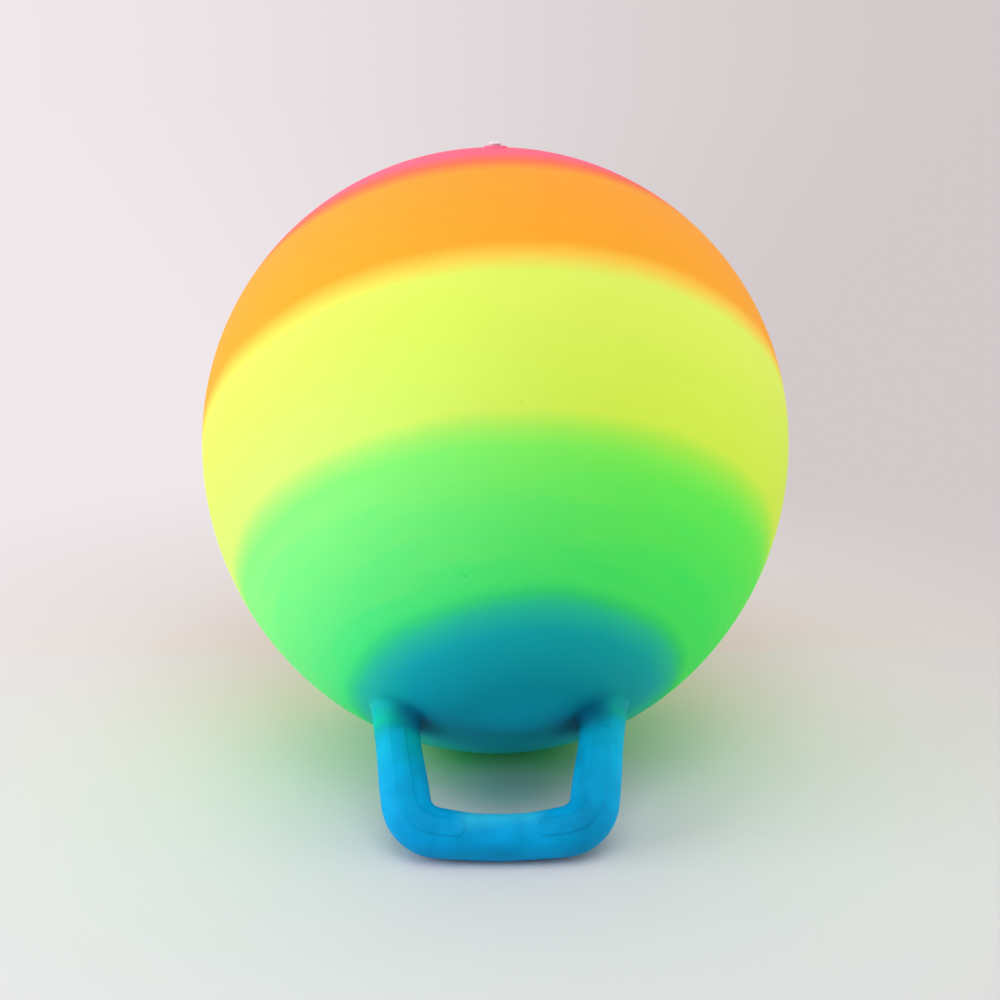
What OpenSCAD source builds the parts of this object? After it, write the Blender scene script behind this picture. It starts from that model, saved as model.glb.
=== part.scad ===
// Hopper ball: an inflated, slightly egg-shaped skin with a loop handle on its nose and a
// plug valve in its top. It lies as it comes to rest, leaning forward on the handle.
// Millimetres. +Z is up, the floor is z = 0 and the handle points to -Y. The origin is the
// middle of the flat that the ball's weight presses against the floor.

/* [Ball] */
// Diameter across the round waist
ball_d = 450; // [380:5:550]
// How far the nose reaches beyond a true sphere
nose_stretch = 17; // [8:1:24]
// How much tighter than the waist's radius the nose is curved
nose_tighten = 14; // [9:1:22]
// Thickness of the skin
skin_t = 1.3; // [1:0.1:2.5]
// Depth of the flat where the ball rests
rest_flat = 2.5; // [1.5:0.25:4]

/* [Handle] */
// Diameter of the handle's tube
grip_d = 31; // [26:0.5:36]
// Wall of the handle's tube
grip_wall = 3; // [2:0.25:5]
// Distance from the nose to the middle of the grip
grip_stand = 75; // [64:1:90]
// Distance between the legs' centrelines, level with the nose
leg_spacing = 143; // [125:1:160]
// Inward lean of each leg, in degrees
leg_lean = 8.5; // [4:0.5:13]
// Radius of the corners' centreline
corner_r = 24.5; // [20:0.5:30]
// Radius of the grip's outward bow
bow_r = 260; // [200:5:400]
// Width of the raised strip on the front of each leg
strip_w = 11.5; // [8:0.5:15]
// Height of the raised strip above the tube
strip_h = 0.8; // [0.4:0.1:1.5]
// Plain length in the middle of the grip, between the two strips
strip_gap = 48; // [30:1:70]
// Radius of the fillet where each foot spreads on to the skin
foot_fillet = 14; // [9:0.5:18]
// How far the fillet starts inside the tube's outside
foot_inset = 5; // [3:0.25:7]

/* [Valve] */
// Diameter of the plug's shank
shank_d = 6; // [5:0.1:8]
// Length of the plug's shank below its head
shank_len = 17; // [12:0.5:20]
// Length of the shank's tapered tip
tip_len = 3; // [2:0.25:5]
// Diameter of the plug's head
head_d = 10; // [9:0.25:13]
// Thickness of the plug's head in the middle
head_t = 2.4; // [1.8:0.1:3.5]
// Thickness of the plug's head at its rim
head_rim = 1.2; // [0.8:0.1:1.5]
// Gap all round between the shank and the seat
plug_clear = 0.05; // [0.02:0.01:0.09]
// Diameter of the seat's neck, where it passes through the skin
neck_d = 14; // [12:0.25:16]
// Depth of the seat below the outside of the skin
seat_depth = 14; // [10:0.5:16]
// Diameter of the seat's collar on the outside of the skin
collar_d = 17; // [16.5:0.25:20]
// Height of the collar above the skin
collar_h = 1; // [0.6:0.1:2]
// Diameter of the seat's flange on the inside of the skin
flange_d = 28; // [24:0.5:34]
// Thickness of the flange at its edge
flange_t = 2; // [1.2:0.1:3]

/* [Hidden] */
$fn = 200;
// Facets of a full circle the size of the ball, where a small piece follows it
skin_fn = 720;
// Overrun of cuts past the faces that they cut
over = 1;
// How far grip and legs run into the corners, and how much fuller the corners are there
seam_lap = 0.8;
seam_step = 0.05;
// How far the foot's fillet runs in under the skin, so that its edge fades out
foot_bite = 0.3;
// Share of the shank's diameter left at the end of its tip
tip_share = 0.6;

// The egg's outline is three arcs that run into each other: a round back, flatter sides
// drawn about a centre beyond the axis, and a tighter nose
ball_r = ball_d / 2;
nose_off = nose_stretch + nose_tighten;
nose_r = ball_r - nose_tighten;
nose_reach = ball_r + nose_stretch;
side_off = nose_stretch * (nose_stretch + 2 * nose_tighten) / (2 * nose_tighten);
side_r = ball_r + side_off;
joint_a = atan2(nose_off, side_off);

// Tilt of the handle's axis below level, at which ball and grip both touch the floor
grip_r = grip_d / 2;
grip_reach = nose_reach + grip_stand;
side_tilt = asin((side_r - rest_flat - grip_r) / norm([grip_reach, side_off]))
    - atan2(side_off, grip_reach);
nose_tilt = asin((nose_r - rest_flat - grip_r) / (grip_reach - nose_off));
on_side = side_tilt <= joint_a;
tilt = on_side ? side_tilt : nose_tilt;
centre_y = on_side ? side_off * sin(tilt) : nose_off * cos(tilt);
centre_z = (on_side ? side_r - side_off * cos(tilt) : nose_r + nose_off * sin(tilt)) - rest_flat;

// The loop's centreline in its own plane: x across, y out along the handle's axis
leg_half = leg_spacing / 2;
leg_out = [cos(leg_lean), sin(leg_lean)];
leg_down = [sin(leg_lean), -cos(leg_lean)];
bow_y = grip_reach - bow_r;
corner_line = [leg_half, nose_reach - bow_y] - corner_r * leg_out;
corner_run = -corner_line * leg_down
    - sqrt(pow(corner_line * leg_down, 2) - corner_line * corner_line + pow(bow_r - corner_r, 2));
corner_c = corner_line + corner_run * leg_down + [0, bow_y];
bow_half_a = atan2(corner_c.x, corner_c.y - bow_y);
bow_lap_a = asin(seam_lap / bow_r);
leg_top = corner_c + corner_r * leg_out;
root_y = nose_off + sqrt(pow(nose_r, 2) - pow(leg_half + grip_d, 2));
leg_len = (leg_top.y - root_y) / cos(leg_lean);

// Where each leg's centreline meets the nose, and the skin's slope there
foot_line = [leg_half, nose_r];
foot_run = -foot_line * leg_down - sqrt(pow(foot_line * leg_down, 2) - pow(leg_half, 2));
foot_at = foot_line + foot_run * leg_down;
foot_a = atan2(foot_at.x, foot_at.y);
fillet_x = grip_r - foot_inset + foot_fillet;
fillet_y = sqrt(pow(nose_r + foot_fillet, 2) - pow(fillet_x, 2)) - foot_bite;
foot_rim = fillet_x * nose_r / (nose_r + foot_fillet);
foot_low = sqrt(pow(nose_r, 2) - pow(foot_rim, 2)) - over;

// Middles of the strips' rounded ends, on the leg and on the grip
strip_leg_end = [leg_half, nose_reach] - strip_w / 2 * leg_down;
strip_leg_len = norm(leg_top - strip_leg_end);
strip_bow_x = (strip_gap + strip_w) / 2;
strip_bow_a = asin(strip_bow_x / bow_r);
strip_bow_end = [strip_bow_x, bow_y + bow_r * cos(strip_bow_a)];

// Heights in the valve are counted from the outside of the skin
bore_d = shank_d + 2 * plug_clear;
flange_low = ball_r - sqrt(pow(ball_r - skin_t, 2) - pow(flange_d / 2, 2)) + flange_t;
dome_rise = head_t - head_rim;
dome_r = (pow(head_d / 2, 2) + pow(dome_rise, 2)) / (2 * dome_rise);

// Frames: the ball's centre with z along the handle's axis, the loop's own plane, and the
// valve's axis with z = 0 on the outside of the skin
module at_ball() {
    translate([0, centre_y, centre_z]) rotate([90 + tilt, 0, 0]) children();
}

module at_loop() {
    at_ball() rotate([90, 0, 0]) children();
}

module at_valve() {
    translate([0, centre_y, centre_z + ball_r]) children();
}

module both_sides() {
    children();
    mirror([1, 0, 0]) children();
}

// Half of the egg's outline, drawn in by inset: the back's and the nose's circles, bridged by
// the sides' arc between the places where it runs into them
module egg_half(inset) {
    intersection() {
        union() {
            circle(ball_r - inset);
            translate([0, nose_off]) circle(nose_r - inset);
            intersection() {
                translate([-side_off, 0]) circle(side_r - inset);
                polygon([
                    [0, 0],
                    [ball_d, 0],
                    [ball_d * cos(joint_a) - side_off, ball_d * sin(joint_a)],
                    [0, nose_off],
                ]);
            }
        }
        translate([0, -ball_d]) square(2 * ball_d);
    }
}

// The whole egg drawn in by inset, pressed flat where it rests
module egg(inset) {
    intersection() {
        at_ball() rotate_extrude() egg_half(inset);
        translate([-ball_d, -ball_d, inset]) cube(2 * ball_d);
    }
}

// Sweeps of a section along the loop: x of the section points out of the loop and y to its
// back. Grip and legs lap into the corners.
module along_grip(from_a, to_a) {
    translate([0, bow_y]) rotate(90 - to_a)
        rotate_extrude(angle = to_a - from_a) translate([bow_r, 0]) children();
}

module along_corner() {
    translate(corner_c) rotate(leg_lean)
        rotate_extrude(angle = 90 - bow_half_a - leg_lean) translate([corner_r, 0]) children();
}

module along_leg(length, lap) {
    translate(leg_top - lap * leg_down) rotate([90, 0, leg_lean])
        linear_extrude(length + lap) children();
}

// The loop as a bar of radius r, run into the ball by extra
module loop(r, extra) {
    along_grip(-bow_half_a - bow_lap_a, bow_half_a + bow_lap_a) circle(r);
    both_sides() {
        along_corner() circle(r + seam_step);
        along_leg(leg_len + extra, seam_lap) circle(r);
    }
}

// Foot of one leg: a fillet turned about the skin's own normal
module foot() {
    translate([0, nose_off]) rotate(-foot_a) rotate([-90, 0, 0]) rotate_extrude() difference() {
        translate([0, foot_low]) square([foot_rim, fillet_y - foot_low]);
        translate([fillet_x, fillet_y]) circle(foot_fillet);
    }
}

// Raised strip down the front of one leg, round the corner and on to the grip
module strip() {
    module section(step) {
        intersection() {
            circle(grip_r + strip_h + step);
            translate([-strip_w / 2 - step, -grip_d]) square([strip_w + 2 * step, grip_d]);
        }
    }
    module round_end(at) {
        intersection() {
            translate([at.x, at.y, -grip_d]) cylinder(d = strip_w - 2 * seam_step, h = grip_d);
            children();
        }
    }
    along_grip(strip_bow_a, bow_half_a + bow_lap_a / 2) section(0);
    along_corner() section(seam_step);
    along_leg(strip_leg_len, seam_lap / 2) section(0);
    round_end(strip_bow_end) along_grip(0, bow_half_a) circle(grip_r + strip_h - seam_step);
    round_end(strip_leg_end) along_leg(leg_len, 0) circle(grip_r + strip_h - seam_step);
}

// The inflated skin, with the hole for the valve's seat
module ball_shell() {
    color("greenyellow") difference() {
        egg(0);
        egg(skin_t);
        at_valve() translate([0, 0, -seat_depth]) cylinder(d = neck_d, h = seat_depth + over);
    }
}

// The hollow loop handle, trimmed to the skin
module handle() {
    color("deepskyblue") difference() {
        at_loop() difference() {
            union() {
                loop(grip_r, 0);
                both_sides() {
                    foot();
                    strip();
                }
            }
            loop(grip_r - grip_wall, over);
        }
        egg(0);
    }
}

// Soft bush bonded into the skin: collar outside, neck through the skin, flange inside
module valve_seat() {
    module skin(inset) {
        translate([0, -ball_r]) circle(ball_r - inset, $fn = skin_fn);
    }
    color("pink") at_valve() rotate_extrude() difference() {
        union() {
            translate([0, -seat_depth]) square([neck_d / 2, seat_depth + collar_h]);
            difference() {
                translate([0, -collar_h]) square([collar_d / 2, 2 * collar_h]);
                skin(0);
            }
            intersection() {
                translate([0, -flange_low]) square([flange_d / 2, flange_low]);
                skin(skin_t);
            }
        }
        translate([0, -seat_depth - over]) square([bore_d / 2, seat_depth + collar_h + 2 * over]);
    }
}

// Stopper: domed head on the collar, straight shank with a tapered tip
module valve_plug() {
    color("whitesmoke") at_valve() translate([0, 0, collar_h]) {
        intersection() {
            cylinder(d = head_d, h = head_t);
            translate([0, 0, head_t - dome_r]) sphere(dome_r);
        }
        translate([0, 0, tip_len - shank_len]) cylinder(d = shank_d, h = shank_len - tip_len);
        translate([0, 0, -shank_len]) cylinder(d1 = shank_d * tip_share, d2 = shank_d, h = tip_len);
    }
}

ball_shell();
handle();
valve_seat();
valve_plug();
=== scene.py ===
# Hopper ball: an inflated egg-shaped skin sprayed in soft colour bands, with a loop handle and an air plug.
# Metres. The floor is z = 0, the handle points to -Y and down, and the ball stands on a small flat.
import math

import bmesh
import bpy
import numpy as np
from mathutils import Matrix, Vector


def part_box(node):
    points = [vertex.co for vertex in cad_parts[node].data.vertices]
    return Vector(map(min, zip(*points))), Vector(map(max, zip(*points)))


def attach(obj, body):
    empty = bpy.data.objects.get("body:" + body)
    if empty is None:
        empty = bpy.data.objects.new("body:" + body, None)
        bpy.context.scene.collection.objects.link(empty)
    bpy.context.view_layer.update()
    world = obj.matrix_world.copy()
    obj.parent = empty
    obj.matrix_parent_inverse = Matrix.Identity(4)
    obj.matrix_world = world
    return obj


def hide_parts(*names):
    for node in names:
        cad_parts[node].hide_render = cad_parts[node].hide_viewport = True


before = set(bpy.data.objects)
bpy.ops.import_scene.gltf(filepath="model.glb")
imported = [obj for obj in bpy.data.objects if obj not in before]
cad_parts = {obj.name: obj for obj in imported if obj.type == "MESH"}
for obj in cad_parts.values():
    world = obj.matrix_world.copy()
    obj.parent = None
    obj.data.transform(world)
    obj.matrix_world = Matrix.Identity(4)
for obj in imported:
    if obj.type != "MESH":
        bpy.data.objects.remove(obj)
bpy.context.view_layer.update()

MM = 0.001

# Ball: round back, flatter sides and a tighter nose, three arcs that run into each other
BALL_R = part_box("ball_shell")[1].x
NOSE_STRETCH = 17 * MM
NOSE_TIGHTEN = 14 * MM
REST_FLAT = 2.5 * MM
FLAT_SOFTNESS = 1.2 * MM
NOSE_OFF = NOSE_STRETCH + NOSE_TIGHTEN
NOSE_R = BALL_R - NOSE_TIGHTEN
NOSE_REACH = BALL_R + NOSE_STRETCH
SIDE_OFF = NOSE_STRETCH * (NOSE_STRETCH + 2 * NOSE_TIGHTEN) / (2 * NOSE_TIGHTEN)
SIDE_R = BALL_R + SIDE_OFF
JOINT_A = math.atan2(NOSE_OFF, SIDE_OFF)
SKIN_RINGS = 300
SKIN_SEGMENTS = 300
# The rings crowd towards the nose by this power, because the feet and their hollows are there
RING_CROWDING = 1.5
HOLE_SIDES = 64

# Handle: tube, legs, corners and bowed grip
GRIP_R = 15.5 * MM
GRIP_STAND = 75 * MM
LEG_HALF = 71.5 * MM
LEG_LEAN = math.radians(8.5)
CORNER_R = 24.5 * MM
BOW_R = 260 * MM
PATH_STEP = 0.8 * MM
TUBE_SIDES = 192
TUBE_MERGE = 0.01 * MM
# Strips raised on its front, with a gap between them on the grip
STRIP_W = 11.5 * MM
STRIP_H = 0.8 * MM
STRIP_GAP = 48 * MM
STRIP_EDGE = 0.5 * MM
# The tube is fuller at the corners than at the grip's middle and at the feet
SWELL = 1.4 * MM
SWELL_START = 14 * MM
SWELL_FULL = 52 * MM
SWELL_FALL = 42 * MM
# Each foot spreads on to the skin in a fillet, widest in front, and its edge tucks in under the skin
FILLET_SIDE = 3.5 * MM
FILLET_FRONT = 12 * MM
FILLET_RINGS = 12
FOOT_TUCK = 0.6 * MM

# Hollow that the stiff foot draws in the skin on the inner side of each leg
HOLLOW_R = GRIP_R + 2 * MM
HOLLOW_W = 7 * MM
HOLLOW_DEPTH = 2.6 * MM
HOLLOW_REACH = 14 * MM
HOLLOW_FACING = (-0.1, 0.8)
AXIS_GUARD = 0.001 * MM
# Its painted shade by side, a dark blue where the green spray doesn't reach either: width, how far it climbs
# the leg, and between which facings it comes up
HOLLOW_SHADE = {
    -1: (1.9 * HOLLOW_W, 16 * MM, (-0.7, 0.7)),
    1: (2.6 * HOLLOW_W, 22 * MM, (-0.5, 0.6)),
}
# How much of the hollows' painted shade is mixed in
SHADE_SHARE = 0.8
# Fine creases fan out from the inner side of each foot
CREASE_TURNS = 37.0
CREASE_ANGLES = (-0.75, -0.5, -0.05, 0.1)
CREASE_REACH = (14 * MM, 18 * MM, 30 * MM, 42 * MM)
CREASE_DEPTH = 0.25 * MM

# Valve: collar of the seat on the skin, and the plug in it
COLLAR_H = 1.1 * MM
COLLAR_R = 8.5 * MM
COLLAR_EDGE = 0.8 * MM
COLLAR_SINK = 0.5 * MM
NECK_R = 7 * MM
BORE_R = 3.05 * MM
BORE_EDGE = 0.3 * MM
SEAT_DEPTH = 14 * MM
FLANGE_R = 14 * MM
FLANGE_T = 2 * MM
FLANGE_DROP = 3 * MM
HEAD_R = 5 * MM
HEAD_T = 3.3 * MM
HEAD_RIM = 2.3 * MM
HEAD_EDGE = 0.35 * MM
RIM_LIFT = 1.4 * MM
RIM_EDGE = 0.2 * MM
DIMPLE_R = 0.9 * MM
DIMPLE_DEPTH = 0.15 * MM
DOME_STEPS = 9
SHANK_R = 3 * MM
SHANK_LEN = 17.1 * MM
TIP_LEN = 3 * MM
TIP_R = 1.8 * MM
TIP_EDGE = 0.5 * MM
EDGE_STEPS = 5
TURNED_SIDES = 96
TURNED_MERGE = 0.001 * MM

# Tilt of the handle's axis below level, at which ball and grip both touch the floor
GRIP_REACH = NOSE_REACH + GRIP_STAND
GRIP_FALL = SIDE_R - REST_FLAT - GRIP_R
TILT = math.asin(GRIP_FALL / math.hypot(GRIP_REACH, SIDE_OFF)) - math.atan2(SIDE_OFF, GRIP_REACH)
CENTRE = Vector((0, SIDE_OFF * math.sin(TILT), SIDE_R - SIDE_OFF * math.cos(TILT) - REST_FLAT))
ACROSS = Vector((1, 0, 0))
AXIS = Vector((0, -math.cos(TILT), -math.sin(TILT)))
FRONT = Vector((0, -math.sin(TILT), math.cos(TILT)))
NOSE = CENTRE + NOSE_OFF * AXIS
VALVE = CENTRE + Vector((0, 0, BALL_R))

# Sprayed colours
PINK = (253, 106, 134)
SEAT_PINK = (250, 128, 156)
CORAL = (254, 116, 80)
ORANGE = (253, 164, 56)
DEEP_ORANGE = (254, 169, 46)
AMBER = (253, 205, 76)
YELLOW = (226, 245, 100)
SHARP_YELLOW = (217, 246, 78)
LIME = (173, 246, 79)
GREEN = (134, 248, 85)
LEAF = (76, 239, 101)
FERN = (57, 222, 108)
SEA = (42, 199, 152)
TEAL = (16, 173, 172)
DEEP_TEAL = (6, 150, 161)
ROOT_GREEN = (0, 203, 144)
LEG_TEAL = (0, 176, 204)
BLUE = (0, 163, 211)
GRIP_BLUE = (0, 152, 205)
# Painted shade of the hollows at the legs' inner roots, over the blue that the green spray doesn't reach
# there
UNSPRAYED_BLUE_AND_SHADE = (0, 84, 126)
# Painted highlight on the top of the grip's middle
GRIP_HIGHLIGHT = (54, 192, 222)
WHITE = (240, 229, 232)

# The bands lie square to an axis close to the handle's: places along it from the ball's middle
SPRAY_FALL = math.radians(42)
SPRAY_TURN = math.radians(4.2)
SPRAY_AXIS = Vector((
    math.cos(SPRAY_FALL) * math.sin(SPRAY_TURN),
    -math.cos(SPRAY_FALL) * math.cos(SPRAY_TURN),
    -math.sin(SPRAY_FALL),
))
BANDS = (
    (-230 * MM, PINK),
    (-125 * MM, PINK),
    (-106 * MM, CORAL),
    (-88 * MM, ORANGE),
    (-6 * MM, DEEP_ORANGE),
    (5 * MM, AMBER),
    (19 * MM, YELLOW),
    (110 * MM, SHARP_YELLOW),
    (120 * MM, LIME),
    (130 * MM, GREEN),
    (197 * MM, LEAF),
    (201.5 * MM, FERN),
    (207 * MM, SEA),
    (216 * MM, TEAL),
    (236 * MM, DEEP_TEAL),
    (253 * MM, LEG_TEAL),
    (284 * MM, BLUE),
    (310 * MM, GRIP_BLUE),
    (340 * MM, GRIP_BLUE),
)
# Hand spraying turned the upper bands a little and bowed the teal's edge round the nose
UPPER_TURN = 0.018
UPPER_END = 120 * MM
TEAL_BOW = 0.45
TEAL_ASIDE = 70 * MM
TEAL_BOW_FROM = (150 * MM, 200 * MM)
# The ball was spun under the spray: streaks drawn out round the axis dim the paint and shift the green
SPIN_STRETCH = 6.0
SPIN_TONE = 0.05
SPIN_SHIFT = 40 * MM
SPIN_GREEN = (128 * MM, 142 * MM, 186 * MM, 198 * MM)
# Slow drift and fine specks shift the edges of all bands
DRIFT_SHIFT = 6 * MM
SPECK_SHIFT = 4 * MM
# Painted light: the green is warmer on the lit left and cooler on the shaded right: how much of its red is
# left at both ends
GREEN_ACROSS = (-120 * MM, 150 * MM)
GREEN_RED = (1.2, 0.65)
# Below the handle the teal thins out sooner
UNDER_SHIFT = 18 * MM
UNDER_FRONT = (20 * MM, -40 * MM)
UNDER_FROM = (200 * MM, 234 * MM)
UNDER_END = (275 * MM, 245 * MM)
# Painted light: a bluish paling over the left of the lower bands, where the light from the left falls
LEFT_LIGHT = (0, 0, 98)
LEFT_LIGHT_ACROSS = (120 * MM, -170 * MM)
LEFT_LIGHT_ALONG = (25 * MM, 150 * MM)
LEFT_LIGHT_END = (226 * MM, 246 * MM)
HANDLE_LEFT_LIGHT = 0.45
# The green reaches down over the legs' roots, most of all on the outer sides and on the left
ROOT_ASIDE = 5 * MM
ROOT_ACROSS = (62 * MM, 84 * MM)
ROOT_ALONG = (253 * MM, 229 * MM)
ROOT_FROM = (216 * MM, 236 * MM)
ROOT_LEAN = 0.1
ROOT_SHARE = 0.8
# The inner side of the left leg is greener: where, across and along, and how much of its blue is left
INNER_ACROSS = (-70 * MM, -60 * MM, -50 * MM, -44 * MM)
INNER_ALONG = (234 * MM, 244 * MM, 258 * MM, 285 * MM)
INNER_BLUE = 0.72
# The legs turn blue sooner than the nose: by how much, over which rise from the skin, and where along
LEG_AHEAD = 11 * MM
LEG_RISE = (4 * MM, 16 * MM)
LEG_ALONG = (222 * MM, 232 * MM, 262 * MM, 290 * MM)
# Painted highlight: the bare middle of the grip is paler on its top, on the side of the ball, where light
# from above falls
HIGHLIGHT_ACROSS = (34 * MM, 18 * MM)
HIGHLIGHT_ALONG = (319 * MM, 304 * MM)
HIGHLIGHT_FROM = (270 * MM, 285 * MM)
HIGHLIGHT_SHARE = 0.75
# Painted shade and light: the right leg is darker on its inner side, which faces the shaded underside, and
# lighter on its outer side
LEG_SHADE_ACROSS = (56 * MM, 82 * MM)
LEG_SHADE_FROM = (44 * MM, 56 * MM)
# Blotches fade out towards the skin, so that the feet run into it
ROOT_BLEND = (10 * MM, 32 * MM)
# Tone added on the strips, and painted shade along their edges and in the creases
STRIP_TONE = -0.05
STRIP_EDGE_SHADE = -0.35
CREASE_SHADE = -0.3
# Small dark marks: place, reach across and along, and how much darker
MARKS = (
    (Vector((13.2, -195, 308)) * MM, 1.3 * MM, 1.3 * MM, 0.12),
    (Vector((-23.1, -213.9, 199.7)) * MM, 2.8 * MM, 1.6 * MM, 0.14),
    (Vector((-8, -229, 13)) * MM, 22 * MM, 8 * MM, 0.18),
)
# A mark starts and is full at these shares of its reach
MARK_FADE = (1.0, 0.2)

# Noises of the finishes: features to the metre, and levels of finer detail
SPIN_NOISE = (16.0, 3.0)
DRIFT_NOISE = (14.0, 2.0)
SPECK_NOISE = (900.0, 1.0)
BLOTCH_NOISE = (60.0, 4.0)
SHEEN_NOISE = (35.0, 3.0)
SKIN_GRAIN = (700.0, 3.0)
HANDLE_GRAIN = (420.0, 3.0)
CLOUD_NOISE = (300.0, 3.0)
POLISH_NOISE = (700.0, 2.0)
PIT_NOISE = (2500.0, 2.0)
# Values that count as the low and the high end of a noise
NOISE_ENDS = (0.3, 0.7)
SHEEN_ENDS = (0.25, 0.75)
# Vinyl's roughness and relief, then the moulded plastic's clouding, roughness and relief
VINYL_ROUGHNESS = (0.52, 0.62)
GRAIN_STRENGTH = 0.5
CLOUD_TONE = (0.95, 1.02)
POLISH_SPREAD = 0.1
PIT_STRENGTH = 0.3
PIT_DEPTH = 0.05 * MM
# The setting that leaves a colour's hue as it is
SAME_HUE = 0.5

# Camera: fitted to the ball's outline and the handle's edges on an image of 1000 x 1000
IMAGE_SIZE = 1000
FOCAL_PIXELS = 1434.6
CENTRE_PIXEL = (495.5, 442.7)
CAMERA_DISTANCE = 5 * BALL_R
CAMERA_RISE = math.radians(13.74)
CAMERA_TURN = math.radians(-0.92)
SENSOR_W = 36

# Surroundings: a pale wall, and a floor that runs out into its colour
WALL_LIT = (240, 232, 235)
WALL_SHADED = (210, 201, 202)
WALL_TURN = (-0.35, 0.35)
FLOOR_COLOUR = (220, 219, 219)
FLOOR_BEHIND = (222, 217, 214)
FLOOR_EDGE = (148 * MM, 152 * MM)
FLOOR_FADE = (0.3, 0.9)
FLOOR_ROUGHNESS = 0.6
FLOOR_SPECULAR = 0.1
FLOOR_R = 30.0
FLOOR_SIDES = 128
# Painted coloured light of the ball on the floor, and the ball's painted shadow on it under the loop
FLOOR_GLOW = (98, 205, 140)
GLOW_PLACE = Vector((5, -50, 0)) * MM
GLOW_REACH = (100 * MM, 22 * MM)
FLOOR_SHADOW = (140, 184, 180)
SHADOW_PLACE = Vector((6, -115, 0)) * MM
SHADOW_REACH = (66 * MM, 4 * MM)
# Light of the room: in front at the floor's level, in front from this rise up, and behind
ROOM_LOW_FRONT = 0.1
ROOM_FRONT = 0.56
ROOM_FRONT_RISE = 0.6
ROOM_BACK = 0.96
# Soft square lamps: place, size, power and colour
LAMPS = {
    "window": ((-1.95, -0.62, 0.7), 1.4, 23, (0.92, 1.0, 1.1)),
    "ceiling": ((0.1, -0.9, 2.2), 1.6, 13.5, (1.0, 1.0, 1.0)),
    "side": ((1.8, -0.55, 0.32), 1.2, 8.3, (1.0, 1.0, 1.0)),
}


def linear(colour):
    """A colour written as 0 to 255 as shown on a screen, in the renderer's linear values."""
    shares = [c / 255 for c in colour]
    return [s / 12.92 if s <= 0.04045 else ((s + 0.055) / 1.055) ** 2.4 for s in shares] + [1.0]


# Nodes

def add(tree, kind, *values, **settings):
    """A node with its settings. Each value sets an input, in order: a number, a link or None to leave it."""
    made = tree.nodes.new(kind)
    for key, value in settings.items():
        setattr(made, key, value)
    for socket, value in zip([s for s in made.inputs if s.enabled], values):
        if isinstance(value, bpy.types.NodeSocket):
            tree.links.new(value, socket)
        elif value is not None:
            socket.default_value = value
    return made


def out(tree, kind, *values, **settings):
    """The first output of such a node."""
    return next(s for s in add(tree, kind, *values, **settings).outputs if s.enabled)


def calc(tree, operation, *values):
    return out(tree, "ShaderNodeMath", *values, operation=operation)


def times(tree, first, *others):
    """Product of several values."""
    for other in others:
        first = calc(tree, "MULTIPLY", first, other)
    return first


def more(tree, base, share, amount):
    """A value raised by a share of an amount."""
    return calc(tree, "MULTIPLY_ADD", share, amount, base)


def hypotenuse(tree, a, b):
    """Length across two sides that are square to each other."""
    return calc(tree, "SQRT", calc(tree, "ADD", calc(tree, "POWER", a, 2.0), calc(tree, "POWER", b, 2.0)))


def step_up(tree, value, low, high):
    """0 below low, 1 above high, smooth between."""
    return out(tree, "ShaderNodeMapRange", value, low, high, 0.0, 1.0, interpolation_type="SMOOTHSTEP")


def between(tree, value, ends):
    """1 between the two middle ends, 0 outside the outer two."""
    return times(tree, step_up(tree, value, ends[0], ends[1]), step_up(tree, value, ends[3], ends[2]))


def vector(tree, operation, *values):
    return out(tree, "ShaderNodeVectorMath", *values, operation=operation)


def stretched(tree, direction, length):
    """A direction times a length."""
    made = add(tree, "ShaderNodeVectorMath", direction, operation="SCALE")
    tree.links.new(length, made.inputs["Scale"])
    return made.outputs[0]


def coordinates(tree, place):
    """The x, y and z of a place."""
    return add(tree, "ShaderNodeSeparateXYZ", place).outputs


def joined(tree, x, y, z):
    return out(tree, "ShaderNodeCombineXYZ", x, y, z)


def new_tree(name, sizes):
    """A geometry tree with a geometry input, a material input and one number input for each size."""
    tree = bpy.data.node_groups.new(name, "GeometryNodeTree")
    tree.interface.new_socket("Geometry", in_out="INPUT", socket_type="NodeSocketGeometry")
    for size in sizes:
        tree.interface.new_socket(size, in_out="INPUT", socket_type="NodeSocketFloat")
    tree.interface.new_socket("Material", in_out="INPUT", socket_type="NodeSocketMaterial")
    tree.interface.new_socket("Geometry", in_out="OUTPUT", socket_type="NodeSocketGeometry")
    return tree, tree.nodes.new("NodeGroupInput").outputs


def close_tree(tree, geometry, material):
    smooth = out(tree, "GeometryNodeSetShadeSmooth", geometry)
    real = out(tree, "GeometryNodeRealizeInstances", smooth)
    add(tree, "NodeGroupOutput", out(tree, "GeometryNodeSetMaterial", real, True, material))


# Pieces

def grow(name, tree, base, sizes, material):
    """Runs a geometry tree on a base mesh or curve and returns the result as a plain mesh object."""
    carrier = bpy.data.objects.new(name + "_base", base)
    bpy.context.scene.collection.objects.link(carrier)
    modifier = carrier.modifiers.new("grow", "NODES")
    modifier.node_group = tree
    for item in tree.interface.items_tree:
        if item.in_out == "INPUT" and item.name in sizes:
            modifier[item.identifier] = sizes[item.name]
        if item.in_out == "INPUT" and item.name == "Material":
            modifier[item.identifier] = material
    bpy.context.view_layer.update()
    mesh = bpy.data.meshes.new_from_object(carrier.evaluated_get(bpy.context.evaluated_depsgraph_get()))
    bpy.data.objects.remove(carrier)
    return piece(name, mesh, material)


def piece(name, mesh, material):
    mesh.name = name
    made = bpy.data.objects.new(name, mesh)
    bpy.context.scene.collection.objects.link(made)
    mesh.materials.clear()
    mesh.materials.append(material)
    mesh.shade_smooth()
    return made


def settle(made, body, node):
    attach(made, body)
    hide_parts(node)


# Finishes

def new_material(name):
    material = bpy.data.materials.new(name)
    material.use_nodes = True
    tree = material.node_tree
    shader = tree.nodes["Principled BSDF"]
    place = add(tree, "ShaderNodeTexCoord").outputs["Object"]
    return material, tree, shader, place


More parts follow.
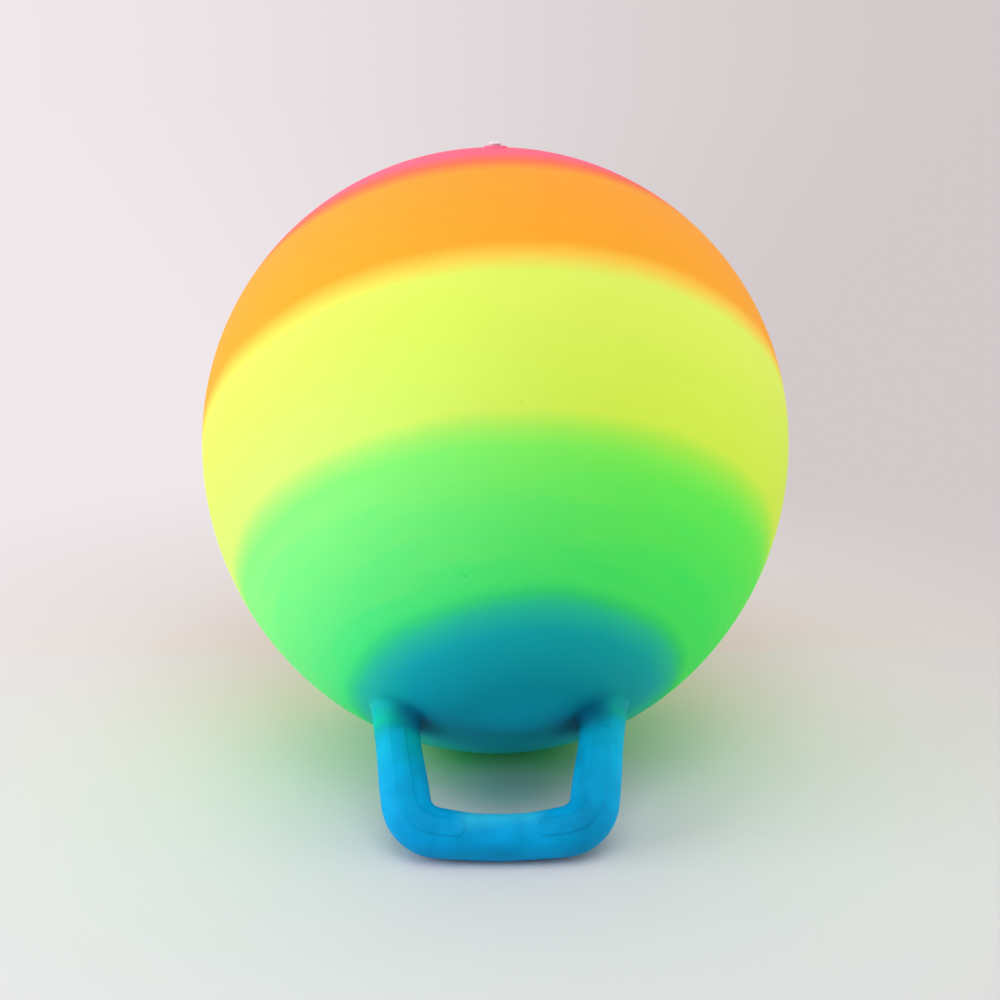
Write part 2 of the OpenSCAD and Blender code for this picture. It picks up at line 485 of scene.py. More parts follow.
def noise(tree, place, kind):
    """Even noise from 0 to 1 of one kind, its features to the metre and its levels of finer detail."""
    scale, detail = kind
    return out(tree, "ShaderNodeTexNoise", place, scale, detail, noise_dimensions="3D")


def wander(tree, place, kind):
    """Noise of one kind about zero, from -0.5 to 0.5."""
    return calc(tree, "SUBTRACT", noise(tree, place, kind), 0.5)


def noise_between(tree, place, kind, low, high, ends=NOISE_ENDS):
    """Noise of one kind, with its ends drawn out to low and high."""
    return out(tree, "ShaderNodeMapRange", noise(tree, place, kind), *ends, low, high)


def mixed(tree, share, colour_a, colour_b, blend="MIX"):
    return out(tree, "ShaderNodeMix", share, colour_a, colour_b, data_type="RGBA", blend_type=blend)


def toned(tree, colour, tone):
    """A colour made lighter or darker by a factor."""
    return out(tree, "ShaderNodeHueSaturation", SAME_HUE, 1.0, tone, 1.0, colour)


def relief(tree, shader, strength, depth, height):
    """Raises a shader's surface by a height from 0 to 1 of that depth."""
    bump = add(tree, "ShaderNodeBump", strength, depth)
    tree.links.new(height, bump.inputs["Height"])
    tree.links.new(bump.outputs["Normal"], shader.inputs["Normal"])


def spun_streaks(tree, place):
    """Place along the spray's axis from the ball's middle, and streaks round that axis from -0.5 to 0.5."""
    along = vector(tree, "DOT_PRODUCT", place, SPRAY_AXIS)
    along = calc(tree, "SUBTRACT", along, CENTRE.dot(SPRAY_AXIS))
    drawn = vector(tree, "MULTIPLY_ADD", along, SPIN_STRETCH * SPRAY_AXIS, place)
    return along, wander(tree, drawn, SPIN_NOISE)


def hand_sprayed(tree, place, across, rise, along):
    """Place along the spray's axis, shifted where the hand turned or bowed the bands or thinned the paint."""
    turn = calc(tree, "MAXIMUM", more(tree, UPPER_TURN, along, -UPPER_TURN / UPPER_END), 0.0)
    bow = times(tree, step_up(tree, along, *TEAL_BOW_FROM), -TEAL_BOW)
    turn = more(tree, turn, bow, calc(tree, "SUBTRACT", across, TEAL_ASIDE))
    along = more(tree, along, turn, across)
    front = calc(tree, "SUBTRACT", vector(tree, "DOT_PRODUCT", place, FRONT), CENTRE.dot(FRONT))
    under = times(tree, step_up(tree, along, *UNDER_FROM), step_up(tree, along, *UNDER_END))
    under = times(tree, under, step_up(tree, front, *UNDER_FRONT))
    along = more(tree, along, under, -UNDER_SHIFT)
    on_leg = times(tree, step_up(tree, rise, *LEG_RISE), between(tree, along, LEG_ALONG))
    return more(tree, along, on_leg, LEG_AHEAD)


def band_ramp(tree, along):
    """Colour of the bands at a place along the spray's axis."""
    first, last = BANDS[0][0], BANDS[-1][0]
    ramp = add(tree, "ShaderNodeValToRGB", out(tree, "ShaderNodeMapRange", along, first, last, 0.0, 1.0))
    stops = ramp.color_ramp.elements
    spots = [(at - first) / (last - first) for at, _ in BANDS]
    for spot in spots[1:-1]:
        stops.new(spot)
    for stop, spot, (_, colour) in zip(stops, spots, BANDS):
        stop.position = spot
        stop.color = linear(colour)
    return ramp.outputs["Color"]


def band_colour(tree, place, across, rise, along, streaks):
    """Colour of the sprayed bands, irregular at their edges, with their tints, and painted light: the lit
    left paler and the green warmer there, a highlight on the grip.
    """
    along = hand_sprayed(tree, place, across, rise, along)
    on_green = between(tree, along, SPIN_GREEN)
    along = more(tree, along, times(tree, on_green, SPIN_SHIFT), streaks)
    along = more(tree, along, wander(tree, place, DRIFT_NOISE), DRIFT_SHIFT)
    along = more(tree, along, wander(tree, place, SPECK_NOISE), SPECK_SHIFT)
    # Painted light: more red in the green on the lit left, less on the shaded right
    red = out(tree, "ShaderNodeMapRange", across, *GREEN_ACROSS, *GREEN_RED)
    red = more(tree, 1.0, calc(tree, "SUBTRACT", red, 1.0), on_green)
    on_inner = times(tree, between(tree, across, INNER_ACROSS), between(tree, along, INNER_ALONG))
    blue = more(tree, 1.0, on_inner, INNER_BLUE - 1.0)
    tint = out(tree, "ShaderNodeCombineColor", red, 1.0, blue)
    colour = mixed(tree, 1.0, band_ramp(tree, along), tint, "MULTIPLY")
    outside = calc(tree, "ABSOLUTE", calc(tree, "SUBTRACT", across, ROOT_ASIDE))
    rooted = times(tree, step_up(tree, outside, *ROOT_ACROSS), step_up(tree, along, *ROOT_ALONG))
    leaning = more(tree, along, across, -ROOT_LEAN)
    rooted = times(tree, rooted, step_up(tree, leaning, *ROOT_FROM), ROOT_SHARE)
    colour = mixed(tree, rooted, colour, linear(ROOT_GREEN))
    # Painted highlight on the top of the grip's bare middle
    highlighted = times(tree, step_up(tree, along, *HIGHLIGHT_FROM), step_up(tree, along, *HIGHLIGHT_ALONG))
    highlighted = times(tree, highlighted, step_up(tree, calc(tree, "ABSOLUTE", across), *HIGHLIGHT_ACROSS), HIGHLIGHT_SHARE)
    colour = mixed(tree, highlighted, colour, linear(GRIP_HIGHLIGHT))
    # Painted light: blue added over the left, where the light from the left falls
    left_lit = times(tree, step_up(tree, across, *LEFT_LIGHT_ACROSS), step_up(tree, along, *LEFT_LIGHT_ALONG))
    left_lit = times(tree, left_lit, out(tree, "ShaderNodeMapRange", along, *LEFT_LIGHT_END, 1.0, HANDLE_LEFT_LIGHT))
    return mixed(tree, left_lit, colour, linear(LEFT_LIGHT), "ADD")


def foot_marks(tree, place, rise):
    """Two masks at the legs' inner roots: painted shade of the hollows, where the green spray doesn't reach
    either, and fine creases.
    """
    shades = []
    creases = []
    for side, (width, climb, facing_ends) in HOLLOW_SHADE.items():
        offset = vector(tree, "SUBTRACT", place, foot_point(side))
        inner = vector(tree, "DOT_PRODUCT", offset, foot_inward(side))
        front = vector(tree, "DOT_PRODUCT", offset, FRONT)
        reach = hypotenuse(tree, inner, front)
        ring = calc(tree, "DIVIDE", calc(tree, "SUBTRACT", reach, HOLLOW_R), width)
        ring = calc(tree, "EXPONENT", times(tree, ring, ring, -1.0))
        facing = step_up(tree, calc(tree, "DIVIDE", inner, reach), *facing_ends)
        low = step_up(tree, rise, climb, 0.0)
        shades.append(times(tree, ring, facing, low))
        angle = calc(tree, "ARCTAN2", front, inner)
        wave = calc(tree, "MAXIMUM", calc(tree, "SINE", times(tree, angle, CREASE_TURNS)), 0.0)
        fan = times(tree, between(tree, angle, CREASE_ANGLES), between(tree, reach, CREASE_REACH))
        creases.append(times(tree, wave, fan, low))
    return calc(tree, "ADD", *shades), calc(tree, "ADD", *creases)


def sprayed_vinyl(name, mottle, leg_shade, grain, grain_depth, gloss):
    """Satin soft vinyl under the sprayed bands. Mottle is how strong its blotches are, and leg_shade how much
    painted shade darkens the right leg inside and painted light lightens it outside."""
    material, tree, shader, place = new_material(name)
    across = coordinates(tree, place)[0]
    rise = calc(tree, "SUBTRACT", vector(tree, "DISTANCE", place, NOSE), NOSE_R)
    shade, creases = foot_marks(tree, place, rise)
    along, streaks = spun_streaks(tree, place)
    colour = band_colour(tree, place, across, rise, along, streaks)
    # Painted shade in the hollows at the legs' inner roots
    colour = mixed(tree, times(tree, shade, SHADE_SHARE), colour, linear(UNSPRAYED_BLUE_AND_SHADE))
    tone = noise_between(tree, place, BLOTCH_NOISE, -mottle, mottle)
    # Painted shade on the right leg's inner side and painted light on its outer side
    lift = out(tree, "ShaderNodeMapRange", across, *LEG_SHADE_ACROSS, -leg_shade, leg_shade)
    tone = more(tree, tone, lift, step_up(tree, across, *LEG_SHADE_FROM))
    tone = more(tree, 1.0, tone, step_up(tree, rise, *ROOT_BLEND))
    strip = add(tree, "ShaderNodeAttribute", attribute_name="strip").outputs["Fac"]
    # The strips are a little darker; painted shade darkens their edges and the creases
    edge = times(tree, strip, calc(tree, "SUBTRACT", 1.0, strip))
    tone = more(tree, tone, strip, STRIP_TONE)
    tone = more(tree, tone, edge, STRIP_EDGE_SHADE)
    tone = more(tree, tone, creases, CREASE_SHADE)
    tone = more(tree, tone, streaks, SPIN_TONE)
    for at, wide, high, depth in MARKS:
        offset = vector(tree, "DIVIDE", vector(tree, "SUBTRACT", place, at), Vector((wide, high, high)))
        spot = step_up(tree, vector(tree, "LENGTH", offset), *MARK_FADE)
        tone = more(tree, tone, spot, -depth)
    tree.links.new(toned(tree, colour, tone), shader.inputs["Base Color"])
    sheen = noise_between(tree, place, SHEEN_NOISE, *VINYL_ROUGHNESS, SHEEN_ENDS)
    tree.links.new(sheen, shader.inputs["Roughness"])
    height = more(tree, noise(tree, place, grain), creases, -CREASE_DEPTH / grain_depth)
    relief(tree, shader, GRAIN_STRENGTH, grain_depth, height)
    shader.inputs["Specular IOR Level"].default_value = gloss
    return material


def moulded_plastic(name, colour, roughness, specular):
    """Smooth moulded plastic with faint clouding and a fine moulded grain."""
    material, tree, shader, place = new_material(name)
    cloud = noise_between(tree, place, CLOUD_NOISE, *CLOUD_TONE)
    tree.links.new(toned(tree, linear(colour), cloud), shader.inputs["Base Color"])
    polish = noise_between(tree, place, POLISH_NOISE, roughness, roughness + POLISH_SPREAD)
    tree.links.new(polish, shader.inputs["Roughness"])
    relief(tree, shader, PIT_STRENGTH, PIT_DEPTH, noise(tree, place, PIT_NOISE))
    shader.inputs["Specular IOR Level"].default_value = specular
    return material


# Shapes

def loop_point(across, along):
    """A point of the handle's own plane in space."""
    return CENTRE + across * ACROSS + along * AXIS


def loop_corner():
    """Centre of the right corner in the loop's plane, and the half angle of the grip's bow."""
    bow_y = GRIP_REACH - BOW_R
    out_x, out_y = math.cos(LEG_LEAN), math.sin(LEG_LEAN)
    down_x, down_y = math.sin(LEG_LEAN), -math.cos(LEG_LEAN)
    line_x = LEG_HALF - CORNER_R * out_x
    line_y = NOSE_REACH - bow_y - CORNER_R * out_y
    dot = line_x * down_x + line_y * down_y
    run = -dot - math.sqrt(dot ** 2 - line_x ** 2 - line_y ** 2 + (BOW_R - CORNER_R) ** 2)
    x, y = line_x + run * down_x, line_y + run * down_y
    return (x, y + bow_y), math.atan2(x, y)


CORNER, BOW_HALF_A = loop_corner()
LEG_TOP = (CORNER[0] + CORNER_R * math.cos(LEG_LEAN), CORNER[1] + CORNER_R * math.sin(LEG_LEAN))


def leg_down(side):
    return side * math.sin(LEG_LEAN) * ACROSS - math.cos(LEG_LEAN) * AXIS


def leg_out(side):
    return side * math.cos(LEG_LEAN) * ACROSS + math.sin(LEG_LEAN) * AXIS


def leg_top(side):
    return loop_point(side * LEG_TOP[0], LEG_TOP[1])


def run_to_sphere(start, direction, radius):
    """How far along direction a point first meets the sphere of that radius about the nose's centre."""
    gap = start - NOSE
    dot = gap.dot(direction)
    return -dot - math.sqrt(dot ** 2 - gap.length_squared + radius ** 2)


def foot_point(side):
    return leg_top(side) + run_to_sphere(leg_top(side), leg_down(side), NOSE_R) * leg_down(side)


def foot_inward(side):
    """Direction on the skin from a foot towards the middle."""
    normal = (foot_point(side) - NOSE).normalized()
    inward = -side * ACROSS
    return (inward - inward.dot(normal) * normal).normalized()


def fillet_radius(away):
    """Fillet of the foot for a direction away from the leg's axis, widest in front."""
    front = max(away.dot(FRONT), 0)
    return FILLET_SIDE + (FILLET_FRONT - FILLET_SIDE) * front ** 2


def fillet_centre(side, away):
    """Centre and radius of the fillet in one direction, and how far down the leg it lies."""
    radius = fillet_radius(away)
    start = leg_top(side) + (GRIP_R + radius) * away
    run = run_to_sphere(start, leg_down(side), NOSE_R + radius)
    return start + run * leg_down(side), radius, run


def leg_run():
    """Length of a leg from its corner to where its foot first starts to spread."""
    turns = [math.tau * i / TUBE_SIDES for i in range(TUBE_SIDES)]
    return min(fillet_centre(1, math.cos(t) * leg_out(1) + math.sin(t) * FRONT)[2] for t in turns) - PATH_STEP


def loop_path():
    """Points of the loop's centreline from the left foot's spread over the grip to the right one's."""
    def arc(centre, radius, from_a, to_a):
        count = max(2, round(radius * (to_a - from_a) / PATH_STEP))
        for i in range(count):
            a = from_a + (to_a - from_a) * i / count
            yield centre[0] + radius * math.sin(a), centre[1] + radius * math.cos(a)

    half = list(arc((0, GRIP_REACH - BOW_R), BOW_R, 0, BOW_HALF_A))
    half += list(arc(CORNER, CORNER_R, BOW_HALF_A, math.pi / 2 - LEG_LEAN))
    length = leg_run()
    count = round(length / PATH_STEP)
    for i in range(count + 1):
        run = length * i / count
        half.append((LEG_TOP[0] + run * math.sin(LEG_LEAN), LEG_TOP[1] - run * math.cos(LEG_LEAN)))
    return [(-x, y) for x, y in reversed(half[1:])] + half


def press_hollows(mesh):
    """Draws skin and feet in along the inner side of each leg's root."""
    flat = np.empty(len(mesh.vertices) * 3)
    mesh.vertices.foreach_get("co", flat)
    places = flat.reshape(-1, 3)
    from_nose = places - np.array(NOSE)
    height = np.linalg.norm(from_nose, axis=1)
    normal = from_nose / height[:, None]
    fade = np.exp(-((height - NOSE_R) / HOLLOW_REACH) ** 2)
    low, high = HOLLOW_FACING
    for side in (-1, 1):
        offset = places - np.array(foot_point(side))
        inner = offset @ np.array(foot_inward(side))
        front = offset @ np.array(FRONT)
        reach = np.maximum(np.hypot(inner, front), AXIS_GUARD)
        facing = np.clip((inner / reach - low) / (high - low), 0, 1)
        ring = np.exp(-((reach - HOLLOW_R) / HOLLOW_W) ** 2) * facing ** 2 * (3 - 2 * facing)
        places -= (HOLLOW_DEPTH * ring * fade)[:, None] * normal
    mesh.vertices.foreach_set("co", places.reshape(-1))
    mesh.update()


def egg_place(tree, size):
    """Place on an egg of revolution for each point of a sphere: the point keeps its direction as the
    surface's normal and takes the place that this normal has on the back, the sides or the nose."""
    x, y, z = coordinates(tree, out(tree, "GeometryNodeInputPosition"))
    share = calc(tree, "DIVIDE", calc(tree, "ARCCOSINE", z), math.pi)
    fall = times(tree, calc(tree, "POWER", share, size["Crowding"]), math.pi)
    on_nose = calc(tree, "LESS_THAN", fall, calc(tree, "SUBTRACT", math.pi / 2, size["Joint Angle"]))
    ahead = calc(tree, "LESS_THAN", fall, math.pi / 2)
    on_side = calc(tree, "SUBTRACT", ahead, on_nose)
    on_back = calc(tree, "SUBTRACT", 1.0, ahead)
    radius = times(tree, on_nose, size["Nose Radius"])
    radius = more(tree, radius, on_side, size["Side Radius"])
    radius = more(tree, radius, on_back, size["Ball Radius"])
    wide = times(tree, radius, calc(tree, "SINE", fall))
    wide = calc(tree, "SUBTRACT", wide, times(tree, on_side, size["Side Offset"]))
    along = times(tree, radius, calc(tree, "COSINE", fall))
    along = more(tree, along, on_nose, size["Nose Offset"])
    around = vector(tree, "NORMALIZE", joined(tree, x, y, 0.0))
    return vector(tree, "ADD", stretched(tree, around, wide), joined(tree, 0.0, 0.0, along))


def skin_tree():
    """Egg from a sphere, tilted into its place, with the flat on the floor and the valve's hole."""
    tree, size = new_tree("egg_skin", (
        "Rings", "Segments", "Crowding", "Ball Radius", "Nose Offset", "Nose Radius", "Side Offset",
        "Side Radius", "Joint Angle", "Tilt", "Centre Depth", "Centre Height", "Flat Softness",
        "Valve Radius", "Valve Depth",
    ))
    ball = out(tree, "GeometryNodeMeshUVSphere", size["Segments"], size["Rings"], 1.0)
    egg = out(tree, "GeometryNodeSetPosition", ball, True, egg_place(tree, size))
    lean = joined(tree, calc(tree, "ADD", size["Tilt"], math.pi / 2), 0.0, 0.0)
    centre = joined(tree, 0.0, size["Centre Depth"], size["Centre Height"])
    egg = out(tree, "GeometryNodeTransform", egg, centre, lean)
    x, y, z = coordinates(tree, out(tree, "GeometryNodeInputPosition"))
    raised = calc(tree, "SMOOTH_MAX", z, 0.0, size["Flat Softness"])
    egg = out(tree, "GeometryNodeSetPosition", egg, True, joined(tree, x, y, raised))
    length = times(tree, size["Valve Depth"], 2.0)
    drill = out(tree, "GeometryNodeMeshCylinder", HOLE_SIDES, 1, 1, size["Valve Radius"], length)
    top = calc(tree, "ADD", size["Centre Height"], size["Ball Radius"])
    drill = out(tree, "GeometryNodeTransform", drill, joined(tree, 0.0, size["Centre Depth"], top))
    egg = out(tree, "GeometryNodeMeshBoolean", egg, drill, operation="DIFFERENCE")
    close_tree(tree, egg, size["Material"])
    return tree


def make_skin(material):
    sizes = {
        "Rings": SKIN_RINGS, "Segments": SKIN_SEGMENTS, "Crowding": RING_CROWDING, "Ball Radius": BALL_R,
        "Nose Offset": NOSE_OFF, "Nose Radius": NOSE_R, "Side Offset": SIDE_OFF, "Side Radius": SIDE_R,
        "Joint Angle": JOINT_A, "Tilt": TILT, "Centre Depth": CENTRE.y, "Centre Height": CENTRE.z,
        "Flat Softness": FLAT_SOFTNESS, "Valve Radius": NECK_R, "Valve Depth": SEAT_DEPTH,
    }
    skin = grow("ball_skin", skin_tree(), bpy.data.meshes.new("skin_base"), sizes, material)
    press_hollows(skin.data)
    settle(skin, "ball", "ball_shell")


def strip_mask(tree, size, normal):
    """1 on the strip up the front of each leg, round its corner and on to the grip, and 0 beside it."""
    at = out(tree, "GeometryNodeInputNamedAttribute", "from_middle")
    facing = vector(tree, "DOT_PRODUCT", normal, FRONT)
    aside = calc(tree, "SQRT", calc(tree, "SUBTRACT", 1.0, calc(tree, "POWER", facing, 2.0)))
    aside = times(tree, aside, size["Tube Radius"])
    half_w = calc(tree, "DIVIDE", size["Strip Width"], 2.0)
    before = calc(tree, "SUBTRACT", calc(tree, "ADD", size["Strip Start"], half_w), at)
    after = calc(tree, "SUBTRACT", at, calc(tree, "SUBTRACT", size["Strip End"], half_w))
    past = calc(tree, "MAXIMUM", calc(tree, "MAXIMUM", before, after), 0.0)
    inside = calc(tree, "SUBTRACT", half_w, hypotenuse(tree, past, aside))
    raised = step_up(tree, inside, times(tree, size["Strip Edge"], -1.0), size["Strip Edge"])
    return times(tree, raised, calc(tree, "GREATER_THAN", facing, 0.0))


def tube_tree():
    """Tube along the loop, fuller at the corners, with its strips raised and marked."""
    tree, size = new_tree("loop_tube", (
        "Tube Radius", "Tube Sides", "Swell", "Swell Start", "Swell Full", "Swell Fall",
        "Strip Width", "Strip Height", "Strip Edge", "Strip Start", "Strip End",
    ))
    length = add(tree, "GeometryNodeSplineParameter").outputs["Length"]
    half = calc(tree, "DIVIDE", add(tree, "GeometryNodeSplineLength").outputs["Length"], 2.0)
    from_middle = calc(tree, "ABSOLUTE", calc(tree, "SUBTRACT", length, half))
    path = out(tree, "GeometryNodeStoreNamedAttribute", size["Geometry"], True, "from_middle", from_middle)
    ring = out(tree, "GeometryNodeCurvePrimitiveCircle", size["Tube Sides"], size["Tube Radius"])
    fall = calc(tree, "SUBTRACT", half, size["Swell Fall"])
    swell = step_up(tree, from_middle, size["Swell Start"], size["Swell Full"])
    swell = times(tree, swell, step_up(tree, from_middle, half, fall))
    scale = more(tree, 1.0, swell, calc(tree, "DIVIDE", size["Swell"], size["Tube Radius"]))
    tube = out(tree, "GeometryNodeCurveToMesh", path, ring, scale)
    normal = out(tree, "GeometryNodeInputNormal")
    raised = strip_mask(tree, size, normal)
    tube = out(tree, "GeometryNodeStoreNamedAttribute", tube, True, "strip", raised)
    lift = stretched(tree, normal, times(tree, raised, size["Strip Height"]))
    tube = out(tree, "GeometryNodeSetPosition", tube, True, None, lift)
    close_tree(tree, tube, size["Material"])
    return tree


def add_feet(mesh):
    """Runs the tube's open ends down each leg and out on to the skin in a fillet, ring by ring."""
    shape = bmesh.new()
    shape.from_mesh(mesh)
    bmesh.ops.remove_doubles(shape, verts=shape.verts, dist=TUBE_MERGE)
    ends = [edge for edge in shape.edges if edge.is_boundary]
    rims = {vert for edge in ends for vert in edge.verts}
    line_of = {}
    for vert in rims:
        side = 1 if vert.co.x > 0 else -1
        offset = vert.co - leg_top(side)
        away = (offset - offset.dot(leg_down(side)) * leg_down(side)).normalized()
        centre, radius, _ = fillet_centre(side, away)
        on_leg = centre - radius * away
        to_skin = (NOSE - centre).normalized()
        turn = (-away).rotation_difference(to_skin)
        line = [vert, shape.verts.new(vert.co.lerp(on_leg, 0.5))]
        for i in range(FILLET_RINGS + 1):
            part = Matrix.Rotation(turn.angle * i / FILLET_RINGS, 3, turn.axis)
            line.append(shape.verts.new(centre + radius * (part @ -away)))
        on_skin = line[-1].co
        outward = (on_skin - line[-2].co).normalized()
        line.append(shape.verts.new(on_skin + FOOT_TUCK * (2 * outward + to_skin)))
        line_of[vert] = line
    for edge in ends:
        first, second = (line_of[vert] for vert in edge.verts)
        for corners in zip(first, second, second[1:], first[1:]):
            shape.faces.new(corners)
    bmesh.ops.holes_fill(shape, edges=[edge for edge in shape.edges if edge.is_boundary], sides=0)
    bmesh.ops.recalc_face_normals(shape, faces=shape.faces)
    shape.to_mesh(mesh)
    shape.free()


def make_handle(material):
    points = loop_path()
    curve = bpy.data.curves.new("loop_path", "CURVE")
    curve.dimensions = "3D"
    spline = curve.splines.new("POLY")
    spline.points.add(len(points) - 1)
    for point, (across, along) in zip(spline.points, points):
        point.co = (*loop_point(across, along), 1)
    run_to_leg = BOW_R * BOW_HALF_A + CORNER_R * (math.pi / 2 - LEG_LEAN - BOW_HALF_A)
    strip_on_leg = (LEG_TOP[1] - NOSE_REACH) / math.cos(LEG_LEAN)
    sizes = {
        "Tube Radius": GRIP_R, "Tube Sides": TUBE_SIDES, "Swell": SWELL, "Swell Start": SWELL_START,
        "Swell Full": SWELL_FULL, "Swell Fall": SWELL_FALL, "Strip Width": STRIP_W, "Strip Height": STRIP_H,
        "Strip Edge": STRIP_EDGE, "Strip Start": STRIP_GAP / 2, "Strip End": run_to_leg + strip_on_leg,
    }
    handle = grow("loop_handle", tube_tree(), curve, sizes, material)
    add_feet(handle.data)
    press_hollows(handle.data)
    handle.data.shade_smooth()
    settle(handle, "ball", "handle")


def turned(name, outline, material):
    """A closed outline of (radius, height) points turned about the valve's axis."""
    shape = bmesh.new()
    rings = []
    for radius, height in outline:
        turns = [math.tau * i / TURNED_SIDES for i in range(TURNED_SIDES if radius > 0 else 1)]
        rings.append([shape.verts.new(VALVE + Vector((radius * math.cos(t), radius * math.sin(t), height)))
                      for t in turns])
    for low, high in zip(rings, rings[1:]):
        for i in range(TURNED_SIDES):
            corners = [low[i % len(low)], low[(i + 1) % len(low)]]
            corners += [high[(i + 1) % len(high)], high[i % len(high)]]
            corners = list(dict.fromkeys(corners))
            if len(corners) > 2:
                shape.faces.new(corners)
    bmesh.ops.remove_doubles(shape, verts=shape.verts, dist=TURNED_MERGE)
    bmesh.ops.recalc_face_normals(shape, faces=shape.faces)
    mesh = bpy.data.meshes.new(name)
    shape.to_mesh(mesh)
    shape.free()
    return piece(name, mesh, material)


def rounded(corner, before, after, radius):
    """Points of an arc that rounds a corner of an outline, from the side of before to that of after."""
    corner, before, after = Vector(corner), Vector(before), Vector(after)
    start = corner + radius * (before - corner).normalized()
    end = corner + radius * (after - corner).normalized()
    for i in range(EDGE_STEPS + 1):
        t = i / EDGE_STEPS
        yield tuple((1 - t) ** 2 * start + 2 * t * (1 - t) * corner + t ** 2 * end)


def make_seat(material):
    """Bush with a bore, a soft collar on the skin and a flange inside it."""
    skin_drop = BALL_R - math.sqrt(BALL_R ** 2 - COLLAR_R ** 2)
    under = -skin_drop - COLLAR_SINK
    flange_top = -FLANGE_DROP
    flange_under = flange_top - FLANGE_T
    outline = [(BORE_R, -SEAT_DEPTH)]
    outline += rounded((BORE_R, COLLAR_H), (BORE_R, -SEAT_DEPTH), (COLLAR_R, COLLAR_H), BORE_EDGE)
    outline += rounded((COLLAR_R, COLLAR_H), (BORE_R, COLLAR_H), (COLLAR_R, under), COLLAR_EDGE)
    outline += [(COLLAR_R, under), (NECK_R, under), (NECK_R, flange_top), (FLANGE_R, flange_top)]
    outline += [(FLANGE_R, flange_under), (NECK_R, flange_under), (NECK_R, -SEAT_DEPTH)]
    outline.append((BORE_R, -SEAT_DEPTH))
    settle(turned("valve_collar", outline, material), "ball", "valve_seat")


def make_plug(material):
    """Stopper with a low domed head, dimpled in the middle, whose rim stands a little off the collar."""
    top, rim = COLLAR_H + HEAD_T, COLLAR_H + HEAD_RIM
    under = COLLAR_H + RIM_LIFT
    rise = HEAD_T - HEAD_RIM
    dome_r = (HEAD_R ** 2 + rise ** 2) / (2 * rise)
    tip = COLLAR_H - SHANK_LEN
    outline = [(0, top - DIMPLE_DEPTH)]
    for i in range(DOME_STEPS):
        radius = DIMPLE_R + (HEAD_R - DIMPLE_R) * i / DOME_STEPS
        outline.append((radius, top - dome_r + math.sqrt(dome_r ** 2 - radius ** 2)))
    outline += rounded((HEAD_R, rim), outline[-1], (HEAD_R, under), HEAD_EDGE)
    outline += rounded((HEAD_R, under), (HEAD_R, rim), (SHANK_R, COLLAR_H), RIM_EDGE)
    outline += [(SHANK_R, COLLAR_H), (SHANK_R, tip + TIP_LEN)]
    outline += rounded((TIP_R, tip), (SHANK_R, tip + TIP_LEN), (0, tip), TIP_EDGE)
    outline.append((0, tip))
    settle(turned("air_plug", outline, material), "plug", "valve_plug")


# Stage, light and camera

def seen_directly(tree):
    """1 for rays from the camera, and for those that reach the surroundings through gloss or glass."""
    path = add(tree, "ShaderNodeLightPath").outputs
    seen = calc(tree, "MAXIMUM", path["Is Camera Ray"], path["Is Glossy Ray"])
    return calc(tree, "MAXIMUM", seen, path["Is Transmission Ray"])


def wall_tone(tree, x):
    """Wall's colour, lighter on the side of the window."""
    return mixed(tree, step_up(tree, x, *WALL_TURN), linear(WALL_LIT), linear(WALL_SHADED))


def make_floor():
    """Pale floor with the ball's coloured light and its shadow under the loop painted on it, which runs out
    into the wall's colour.
    """
    material, tree, shader, place = new_material("floor_pale")
    x, y, _ = coordinates(tree, place)
    tone = mixed(tree, step_up(tree, y, *FLOOR_EDGE), linear(FLOOR_COLOUR), linear(FLOOR_BEHIND))
    # Painted coloured light of the ball on the floor
    near = step_up(tree, vector(tree, "DISTANCE", place, GLOW_PLACE), *GLOW_REACH)
    tone = mixed(tree, near, tone, linear(FLOOR_GLOW))
    # Painted shadow of the ball on the floor under the loop
    shadow = step_up(tree, vector(tree, "DISTANCE", place, SHADOW_PLACE), *SHADOW_REACH)
    tone = mixed(tree, shadow, tone, linear(FLOOR_SHADOW))
    tree.links.new(tone, shader.inputs["Base Color"])
    shader.inputs["Roughness"].default_value = FLOOR_ROUGHNESS
    shader.inputs["Specular IOR Level"].default_value = FLOOR_SPECULAR
    reach = vector(tree, "LENGTH", place)
    glow = out(tree, "ShaderNodeEmission", wall_tone(tree, calc(tree, "DIVIDE", x, reach)), 1.0)
    share = times(tree, step_up(tree, reach, *FLOOR_FADE), seen_directly(tree))
    mix = out(tree, "ShaderNodeMixShader", share, shader.outputs["BSDF"], glow)
    tree.links.new(mix, tree.nodes["Material Output"].inputs["Surface"])
    mesh = bpy.data.meshes.new("floor")
    shape = bmesh.new()
    bmesh.ops.create_circle(shape, cap_ends=True, segments=FLOOR_SIDES, radius=FLOOR_R)
    shape.to_mesh(mesh)
    shape.free()
    piece("floor", mesh, material)


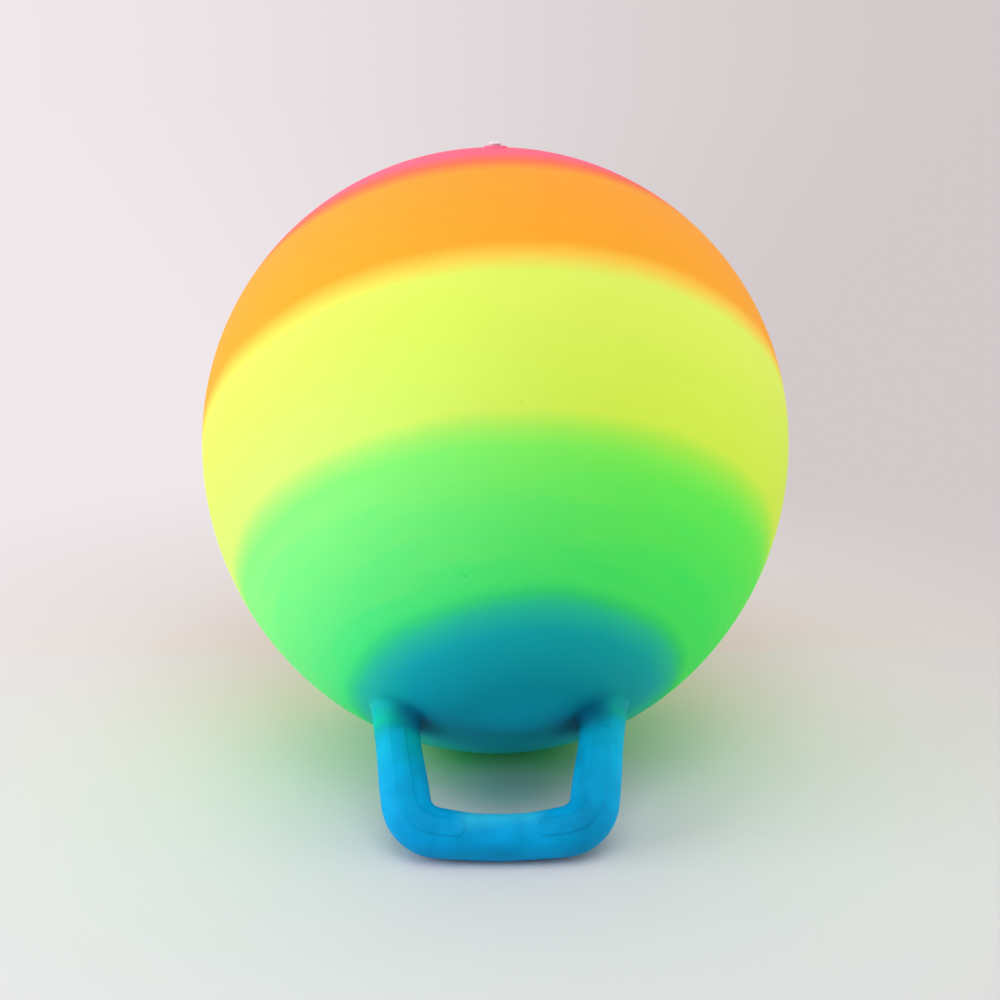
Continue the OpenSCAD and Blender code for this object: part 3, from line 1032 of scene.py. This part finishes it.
def make_world():
    """Pale room, dimmer in front of the ball than behind it, most of all near the floor."""
    world = bpy.data.worlds.new("pale_room")
    bpy.context.scene.world = world
    world.use_nodes = True
    tree = world.node_tree
    x, y, z = coordinates(tree, add(tree, "ShaderNodeTexCoord").outputs["Generated"])
    ahead = out(tree, "ShaderNodeMapRange", z, 0.0, ROOM_FRONT_RISE, ROOM_LOW_FRONT, ROOM_FRONT)
    strength = out(tree, "ShaderNodeMapRange", y, -1.0, 1.0, ahead, ROOM_BACK)
    lighting = tree.nodes["Background"]
    lighting.inputs["Color"].default_value = (1, 1, 1, 1)
    tree.links.new(strength, lighting.inputs["Strength"])
    backdrop = out(tree, "ShaderNodeBackground", wall_tone(tree, x), 1.0)
    mix = out(tree, "ShaderNodeMixShader", seen_directly(tree), lighting.outputs[0], backdrop)
    tree.links.new(mix, tree.nodes["World Output"].inputs["Surface"])


def make_lamp(name, place, size, power, colour):
    """Square soft lamp that faces the ball's middle."""
    lamp = bpy.data.lights.new(name, "AREA")
    lamp.size = size
    lamp.energy = power
    lamp.color = colour
    made = bpy.data.objects.new(name, lamp)
    made.location = place
    made.rotation_euler = (CENTRE - Vector(place)).to_track_quat("-Z", "Y").to_euler()
    bpy.context.scene.collection.objects.link(made)


def make_camera():
    data = bpy.data.cameras.new("camera")
    data.sensor_width = SENSOR_W
    data.lens = FOCAL_PIXELS * SENSOR_W / IMAGE_SIZE
    made = bpy.data.objects.new("camera", data)
    bpy.context.scene.collection.objects.link(made)
    toward = Vector((0, -math.cos(CAMERA_RISE), math.sin(CAMERA_RISE)))
    toward.rotate(Matrix.Rotation(CAMERA_TURN, 3, "Z"))
    look = (-toward).to_track_quat("-Z", "Y").to_matrix().to_4x4()
    yaw, pitch = (math.atan2(pixel - IMAGE_SIZE / 2, FOCAL_PIXELS) for pixel in CENTRE_PIXEL)
    aim = Matrix.Rotation(pitch, 4, "X") @ Matrix.Rotation(yaw, 4, "Y")
    made.matrix_world = Matrix.Translation(CENTRE + CAMERA_DISTANCE * toward) @ look @ aim
    bpy.context.scene.camera = made


make_camera()
make_skin(sprayed_vinyl("sprayed_skin", mottle=0.015, leg_shade=0.0, grain=SKIN_GRAIN,
                        grain_depth=0.04 * MM, gloss=0.05))
make_handle(sprayed_vinyl("sprayed_handle", mottle=0.11, leg_shade=0.2, grain=HANDLE_GRAIN,
                          grain_depth=0.2 * MM, gloss=0.06))
make_seat(moulded_plastic("pink_seat", SEAT_PINK, roughness=0.5, specular=0.15))
make_plug(moulded_plastic("white_plug", WHITE, roughness=0.25, specular=0.5))
make_floor()
make_world()
for lamp_name, lamp_values in LAMPS.items():
    make_lamp(lamp_name, *lamp_values)
bpy.context.scene.view_settings.view_transform = "Standard"
